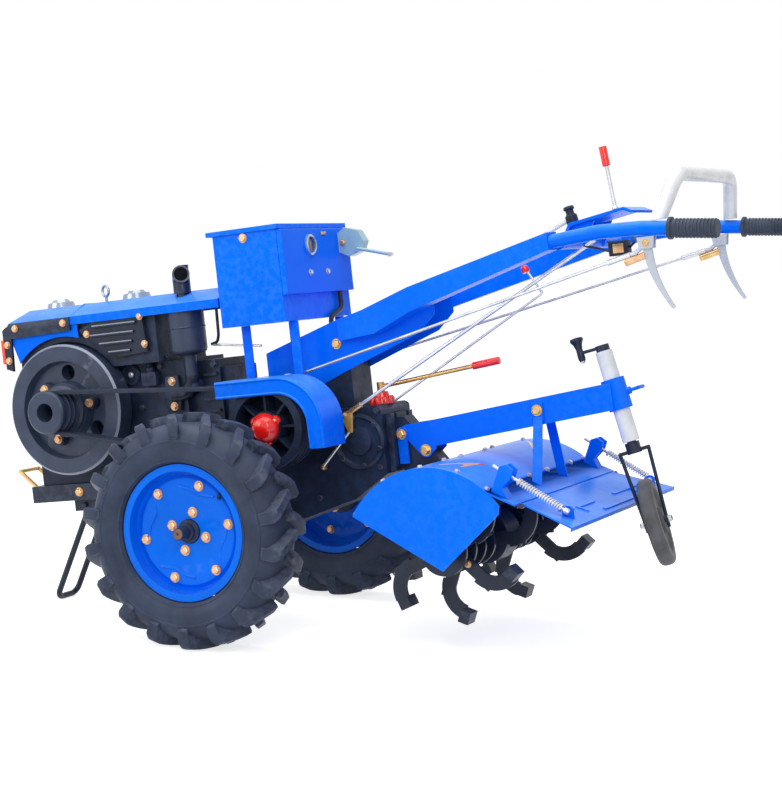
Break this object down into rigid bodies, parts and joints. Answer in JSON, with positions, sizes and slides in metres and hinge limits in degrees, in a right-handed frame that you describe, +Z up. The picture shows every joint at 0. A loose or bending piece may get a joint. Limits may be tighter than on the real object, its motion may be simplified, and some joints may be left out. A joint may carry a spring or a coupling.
{
  "type": "walking tractor with rotary tiller",
  "caption": "Walking tractor with an open diesel engine, belt drive, long handlebars, a rear rotary tiller and a tail wheel, parked on its front stand.",
  "frame": {"origin": "on the ground under the middle of the machine's length and width", "axes": "+X forward, +Y to the machine's left, +Z up"},
  "size_m": [2.0625, 0.92, 1.2241],
  "materials": {
    "blue_paint": "gloss enamel",
    "black_casting": "satin black enamel on castings",
    "black_paint": "satin black enamel",
    "black_plastic": "moulded",
    "belt_rubber": "matt",
    "grip_rubber": "ribbed, matt",
    "lamp_orange": "lens",
    "cap_steel": "bright",
    "yellow_zinc": "yellow zinc plate",
    "bare_steel": "bright zinc plate",
    "grey_paint": "gloss enamel",
    "red_plastic": "moulded",
    "white_wrap": "plated tube in clear wrap",
    "tyre_rubber": "matt",
    "tail_rubber": "matt"
  },
  "bodies": {
    "chassis": {"chassis_frame": "black_paint", "tow_ring": "yellow_zinc", "engine_block": "black_casting", "engine_hood": "blue_paint", "side_panels": "blue_paint", "grille_panels": "black_plastic", "front_lamps": "lamp_orange", "silencer": "black_paint", "hood_fittings": "cap_steel", "gearbox": "black_casting", "axle_housings": "black_casting", "belts": "belt_rubber", "belt_guard": "blue_paint", "toolbox": "blue_paint", "toolbox_legs": "blue_paint", "instrument_panel": "blue_paint", "control_box": "grey_paint", "conduit": "black_plastic", "handle_frame": "blue_paint", "handlebars": "blue_paint", "hand_grips": "grip_rubber", "shift_panel": "blue_paint", "shift_lever": "bare_steel", "lever_knobs": "red_plastic", "hand_hoop": "white_wrap", "steering_levers": "bare_steel", "control_rods": "bare_steel", "tiller_lever": "yellow_zinc", "tiller_case": "black_casting", "tiller_arm": "blue_paint", "cover_links": "blue_paint", "cover_brace": "blue_paint", "tiller_cover": "blue_paint", "spring_brackets": "blue_paint", "tail_post": "white_wrap", "tail_crank": "black_paint"},
    "crank": {"flywheel": "black_casting", "engine_pulley": "black_casting"},
    "clutch": {"clutch_pulley": "black_casting", "clutch_cap": "red_plastic"},
    "lid": {"toolbox_lid": "blue_paint"},
    "wheel_left": {"tyre_left": "tyre_rubber", "rim_left": "blue_paint", "hub_left": "black_casting"},
    "wheel_right": {"tyre_right": "tyre_rubber", "rim_right": "blue_paint", "hub_right": "black_casting"},
    "rotor": {"rotor_shaft": "black_paint", "tines": "black_paint"},
    "apron": {"apron": "blue_paint"},
    "spring_left": {"spring_rod_left": "bare_steel"},
    "spring_right": {"spring_rod_right": "bare_steel"},
    "tail_fork": {"tail_fork": "black_paint"},
    "tail_wheel": {"tail_wheel": "tail_rubber"},
    "stand": {"front_stand": "black_paint"}
  },
  "joints": [
    {"name": "wheel_left_spin", "type": "hinge", "parent": "chassis", "child": "wheel_left", "pos_m": [0.25285, 0.389, 0.29], "axis": [0, 1, 0], "continuous": true},
    {"name": "wheel_right_spin", "type": "hinge", "parent": "chassis", "child": "wheel_right", "pos_m": [0.25285, -0.389, 0.29], "axis": [0, 1, 0], "continuous": true},
    {"name": "crank_spin", "type": "hinge", "parent": "chassis", "child": "crank", "pos_m": [0.79657, 0.15, 0.54161], "axis": [0, 1, 0], "continuous": true},
    {"name": "clutch_spin", "type": "hinge", "parent": "chassis", "child": "clutch", "pos_m": [0.13648, 0.19, 0.53199], "axis": [0, 1, 0], "continuous": true},
    {"name": "lid_hinge", "type": "hinge", "parent": "chassis", "child": "lid", "pos_m": [0.33588, 0, 1.00723], "axis": [0, 1, 0], "range_deg": [0, 100]},
    {"name": "rotor_spin", "type": "hinge", "parent": "chassis", "child": "rotor", "pos_m": [-0.3695, 0, 0.26768], "axis": [0, 1, 0], "continuous": true},
    {"name": "apron_hinge", "type": "hinge", "parent": "chassis", "child": "apron", "pos_m": [-0.58661, 0, 0.39511], "axis": [0, 1, 0], "range_deg": [0, 25]},
    {"name": "spring_left_hinge", "type": "hinge", "parent": "apron", "child": "spring_left", "pos_m": [-0.69029, 0.306, 0.38769], "axis": [0, 1, 0], "range_deg": [-10.82, 0.5]},
    {"name": "spring_right_hinge", "type": "hinge", "parent": "apron", "child": "spring_right", "pos_m": [-0.69029, -0.306, 0.38769], "axis": [0, 1, 0], "range_deg": [-10.82, 0.5]},
    {"name": "tail_swivel", "type": "hinge", "parent": "chassis", "child": "tail_fork", "pos_m": [-0.66599, 0, 0.73328], "axis": [0.3223, 0, 0.9466], "range_deg": [-39, 11]},
    {"name": "tail_spin", "type": "hinge", "parent": "tail_fork", "child": "tail_wheel", "pos_m": [-0.80392, 0, 0.32812], "axis": [-0.9185, -0.2419, 0.3127], "continuous": true},
    {"name": "stand_hinge", "type": "hinge", "parent": "chassis", "child": "stand", "pos_m": [0.7902, 0, 0.27641], "axis": [0, 1, 0], "range_deg": [0, 115]}
  ],
  "couplings": [
    {"joint": "clutch_spin", "follows": "crank_spin", "ratio": 0.54762},
    {"joint": "spring_left_hinge", "follows": "apron_hinge", "ratio": -0.4128},
    {"joint": "spring_right_hinge", "follows": "apron_hinge", "ratio": -0.4128}
  ]
}
